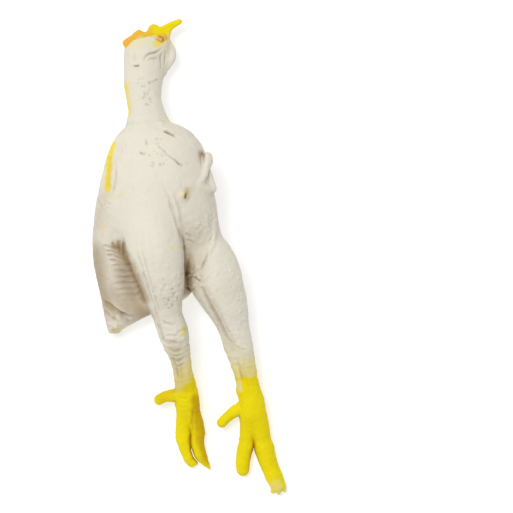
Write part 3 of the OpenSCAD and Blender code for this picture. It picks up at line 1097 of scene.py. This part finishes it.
def make_piece(body, field_of, step, replaces, parent=None, hollow=False, reach=()):
    """One closed piece of skin, named for its body: attached to the body when it has no parent, its
    transform baked in when it has one.

    Its grid takes in the nodes it replaces and those in reach.
    """
    name = "skin_" + body
    low, high = node_box(*replaces, *reach)
    grid = Grid(low - ROOM, high + ROOM, step)
    field = field_of(grid)
    if body == "torso":
        field = slit_through(field, grid)
    points, quads = surface(field, grid)
    normals = normals_of(points, quads)
    lift, crease_shade = relief(points, normals)
    points += lift[:, None] * normals
    points[:, 2] = np.maximum(points[:, 2], 0)
    if hollow:
        coarse = Grid(low - ROOM, high + ROOM, COARSE_STEP)
        inner, inner_quads = surface(field_of(coarse) + WALL, coarse)
        quads = np.vstack([quads, inner_quads[:, ::-1] + len(points)])
        points = np.vstack([points, inner])
        normals = normals_of(points, quads)
        crease_shade = np.append(crease_shade, np.zeros(len(inner)))
    mesh = bpy.data.meshes.new(name)
    mesh.vertices.add(len(points))
    mesh.vertices.foreach_set("co", (points * MM).astype(np.float32).ravel())
    mesh.loops.add(quads.size)
    mesh.loops.foreach_set("vertex_index", quads.astype(np.int32).ravel())
    mesh.polygons.add(len(quads))
    mesh.polygons.foreach_set("loop_start", np.arange(0, quads.size, 4, dtype=np.int32))
    mesh.update(calc_edges=True)
    mesh.shade_smooth()
    rest = mesh.attributes.new("rest", "FLOAT_VECTOR", "POINT")
    rest.data.foreach_set("vector", (points * MM).astype(np.float32).ravel())
    masks = dict(zip(("yellow", "orange", "brown", "painted_shade"), paint(points, normals)))
    # Painted shade at the bottom of creases and pores
    masks["crease_shade"] = crease_shade
    # Painted shade in folds, from how enclosed each point is
    masks["painted_fold_shade"] = seclusion(points, normals)
    for key, values in masks.items():
        mesh.attributes.new(key, "FLOAT", "POINT").data.foreach_set("value", values.astype(np.float32))
    piece = bpy.data.objects.new(name, mesh)
    bpy.context.scene.collection.objects.link(piece)
    if parent:
        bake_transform(piece)
    else:
        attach(piece, body)
    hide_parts(*replaces)
    return piece


# ------------ materials
def attribute(tree, name, output="Fac"):
    node = tree.nodes.new("ShaderNodeAttribute")
    node.attribute_name = name
    return node.outputs[output]


def mixed(tree, factor, a, b, strength=None):
    """A colour mix: a and b are colours or sockets, factor a socket, weakened or raised by a strength."""
    if strength is not None:
        factor = math_node(tree, "MULTIPLY", factor, strength)
    node = tree.nodes.new("ShaderNodeMix")
    node.data_type = "RGBA"
    tree.links.new(factor, node.inputs["Factor"])
    for value, name in ((a, "A"), (b, "B")):
        socket = next(s for s in node.inputs if s.name == name and s.type == "RGBA")
        if isinstance(value, tuple):
            socket.default_value = (*value, 1)
        else:
            tree.links.new(value, socket)
    return next(s for s in node.outputs if s.type == "RGBA")


def math_node(tree, operation, a, b):
    node = tree.nodes.new("ShaderNodeMath")
    node.operation = operation
    node.use_clamp = True
    for value, socket in ((a, node.inputs[0]), (b, node.inputs[1])):
        if isinstance(value, (int, float)):
            socket.default_value = value
        else:
            tree.links.new(value, socket)
    return node.outputs[0]


def noise_texture(tree, where, scale, detail=3.0, low=0.35, high=0.65):
    """Noise from 0 to 1 with its contrast raised."""
    node = tree.nodes.new("ShaderNodeTexNoise")
    node.inputs["Scale"].default_value = scale
    node.inputs["Detail"].default_value = detail
    tree.links.new(where, node.inputs["Vector"])
    spread = tree.nodes.new("ShaderNodeMapRange")
    spread.inputs["From Min"].default_value = low
    spread.inputs["From Max"].default_value = high
    tree.links.new(node.outputs["Fac"], spread.inputs["Value"])
    return spread.outputs["Result"]


CREAM = (0.775, 0.74, 0.63)
CREAM_PINK = (0.765, 0.705, 0.615)
# Colour of painted shade, in folds and under its mask; OCHRE is the feet's darker yellow and also their
# painted shade
PAINTED_SHADE_COLOUR = (0.36, 0.26, 0.14)
# Colour of the painted shade at the bottom of creases and pores
CREASE_SHADE_COLOUR = (0.15, 0.09, 0.035)
YELLOW = (0.86, 0.72, 0.004)
OCHRE = (0.56, 0.34, 0.004)
ORANGE = (0.82, 0.44, 0.05)
BROWN = (0.27, 0.12, 0.03)

# A dull sheen, and a little light under the surface
LATEX_SHADER = {
    "Roughness": 0.6,
    "Specular IOR Level": 0.1,
    "Subsurface Weight": 0.1,
    "Subsurface Radius": (1.0, 0.7, 0.45),
    "Subsurface Scale": 0.004,
}


def latex_material():
    material = bpy.data.materials.new("latex")
    material.use_nodes = True
    tree = material.node_tree
    shader = tree.nodes["Principled BSDF"]
    where = attribute(tree, "rest", "Vector")
    colour = mixed(tree, noise_texture(tree, where, 22), CREAM, CREAM_PINK, 0.35)
    # Painted shade in folds: darker cream here, ochre on the feet's yellow below
    painted_fold_shade = math_node(tree, "POWER", attribute(tree, "painted_fold_shade"), 1.4)
    colour = mixed(tree, painted_fold_shade, colour, PAINTED_SHADE_COLOUR, 1.2)
    # Painted shade where its mask lies, on the cream here and in ochre on the yellow below
    colour = mixed(tree, attribute(tree, "painted_shade"), colour, PAINTED_SHADE_COLOUR)
    foot_colour = mixed(tree, noise_texture(tree, where, 30), YELLOW, OCHRE, 0.12)
    foot_colour = mixed(tree, painted_fold_shade, foot_colour, OCHRE, 1.1)
    foot_colour = mixed(tree, attribute(tree, "painted_shade"), foot_colour, OCHRE)
    # Yellow, orange and brown paint, then the painted shade of creases and pores
    for mask, coat in (("yellow", foot_colour), ("orange", ORANGE), ("brown", BROWN), ("crease_shade", CREASE_SHADE_COLOUR)):
        colour = mixed(tree, attribute(tree, mask), colour, coat)
    tree.links.new(colour, shader.inputs["Base Color"])
    for name, value in LATEX_SHADER.items():
        shader.inputs[name].default_value = value
    bump = tree.nodes.new("ShaderNodeBump")
    bump.inputs["Strength"].default_value = 0.6
    bump.inputs["Distance"].default_value = 0.0006
    fine = tree.nodes.new("ShaderNodeTexNoise")
    fine.inputs["Scale"].default_value = 420
    fine.inputs["Detail"].default_value = 4
    tree.links.new(where, fine.inputs["Vector"])
    tree.links.new(fine.outputs["Fac"], bump.inputs["Height"])
    tree.links.new(bump.outputs["Normal"], shader.inputs["Normal"])
    return material


LATEX = latex_material()
TORSO_NODES = ("torso_skin", "tail_skin", "right_wing", "left_wing")
HEAD_NODES = ("head_skin", "comb", "upper_beak", "lower_beak", "wattle")
NECK_NODES = ("neck_skin",)
# Steps of the grids, in mm: the torso, the limbs, the pieces with small forms
TORSO_STEP = 1.1
LIMB_STEP = 0.9
SMALL_STEP = 0.7
made = [
    make_piece("torso", torso_field, TORSO_STEP, TORSO_NODES, None, True, NECK_NODES),
    make_piece("neck", neck_field, LIMB_STEP, NECK_NODES, "torso", True),
    make_piece("head", head_field, SMALL_STEP, HEAD_NODES, "neck"),
]
for leg in (RIGHT, LEFT):
    side = leg.side
    for part, field_of, parent, slot in (
        ("drumstick", limb_field(leg, leg_form, "drumstick", "shank"), "torso", "latex"),
        ("shank", limb_field(leg, foot_form, "shank", "foot"), side + "_drumstick", "latex"),
        ("foot", foot_field(leg), side + "_shank", "foot_paint"),
    ):
        node = f"{side}_{part}"
        made.append(make_piece(node, field_of, LIMB_STEP, (node,), parent, part != "foot"))
    for name in leg.toes:
        node = f"{side}_{name}_toe"
        parent = side + "_foot"
        made.append(make_piece(node, toe_field(leg, name), SMALL_STEP, (node,), parent))
for piece in made:
    piece.data.materials.append(LATEX)


def plain_material(name, values):
    """A material with nothing but constants on its shader."""
    material = bpy.data.materials.new(name)
    material.use_nodes = True
    shader = material.node_tree.nodes["Principled BSDF"]
    for key, value in values.items():
        shader.inputs[key].default_value = value
    return material


PLASTIC = plain_material("aged_plastic", {"Base Color": (0.20, 0.12, 0.05, 1), "Roughness": 0.45})
for node in ("squeaker_housing", "squeaker_cap", "reed_plate"):
    bpy.data.objects[node].data.materials.clear()
    bpy.data.objects[node].data.materials.append(PLASTIC)

# ------------ stage, camera and light
FLOOR_SIDE = 12
# The floor glows a little, so that it stays white where the light falls off
FLOOR_GLOW = 0.58
bpy.ops.mesh.primitive_plane_add(size=FLOOR_SIDE)
floor = bpy.context.object
floor.name = "floor"
white = plain_material(
    "floor_white",
    {
        "Base Color": (0.5, 0.5, 0.5, 1),
        "Roughness": 0.9,
        "Emission Color": (1, 1, 1, 1),
        "Emission Strength": FLOOR_GLOW,
    },
)
floor.data.materials.append(white)

# The camera looks straight down. At VIEW_LEVEL above the table it sees a square of side VIEW_SIDE
CAMERA_HEIGHT = 3.0
VIEW_SIDE = 0.513
VIEW_LEVEL = 0.045
VIEW_CENTRE = (0.0672, -0.0017)
SENSOR = 36
camera_data = bpy.data.cameras.new("camera")
camera = bpy.data.objects.new("camera", camera_data)
bpy.context.scene.collection.objects.link(camera)
camera_data.sensor_width = SENSOR
camera_data.lens = SENSOR * (CAMERA_HEIGHT - VIEW_LEVEL) / VIEW_SIDE
camera_data.dof.use_dof = False
camera.location = (*VIEW_CENTRE, CAMERA_HEIGHT)
bpy.context.scene.camera = camera
bpy.context.scene.view_settings.view_transform = "Standard"

world = bpy.data.worlds.new("world")
bpy.context.scene.world = world
world.use_nodes = True
world.node_tree.nodes["Background"].inputs["Color"].default_value = (1, 0.992, 0.975, 1)
world.node_tree.nodes["Background"].inputs["Strength"].default_value = 0.485


def area_light(name, place, size, power):
    """A square light that faces the middle of the table."""
    data = bpy.data.lights.new(name, "AREA")
    data.size = size
    data.energy = power
    light = bpy.data.objects.new(name, data)
    bpy.context.scene.collection.objects.link(light)
    light.location = place
    light.rotation_euler = Vector([-v for v in place]).to_track_quat("-Z", "Y").to_euler()
    return light


area_light("key", (-0.95, 1.1, 4.15), 1.6, 113)
